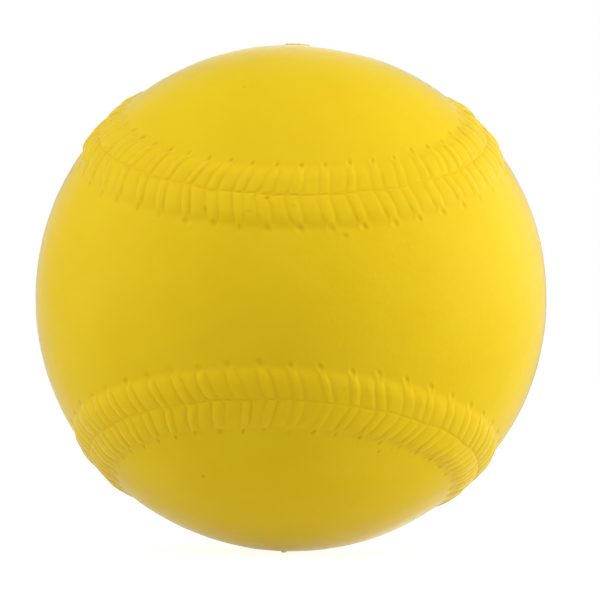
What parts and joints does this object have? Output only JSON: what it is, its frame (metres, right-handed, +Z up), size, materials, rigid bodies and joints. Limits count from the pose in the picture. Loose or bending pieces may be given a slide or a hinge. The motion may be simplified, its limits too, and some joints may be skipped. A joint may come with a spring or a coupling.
{
  "type": "stress ball",
  "caption": "Solid foam squeeze ball with a raised, moulded double row of stitches looping round it, a dense yellow skin over a soft cellular core.",
  "frame": {"origin": "centre of the ball", "axes": "+Z up through the trimmed pouring gate, -Y out of the middle of the front panel's waist, where the two front seam arcs come closest; the mould's parting plane is XZ"},
  "size_m": [0.073, 0.073, 0.0738],
  "materials": {
    "skin": "satin self-skinned polyurethane foam, moulded, slightly mottled",
    "core": "matt cut cellular foam"
  },
  "bodies": {
    "palm_half": {"skin_back": "skin", "foam_core": "core"},
    "finger_half": {"skin_front": "skin"}
  },
  "joints": [
    {"name": "squeeze", "type": "slide", "parent": "palm_half", "child": "finger_half", "axis": [0, 1, 0], "range_m": [0, 0.024], "stiffness_N_per_m": 2500, "deforming": ["skin_front", "skin_back", "foam_core"]}
  ]
}
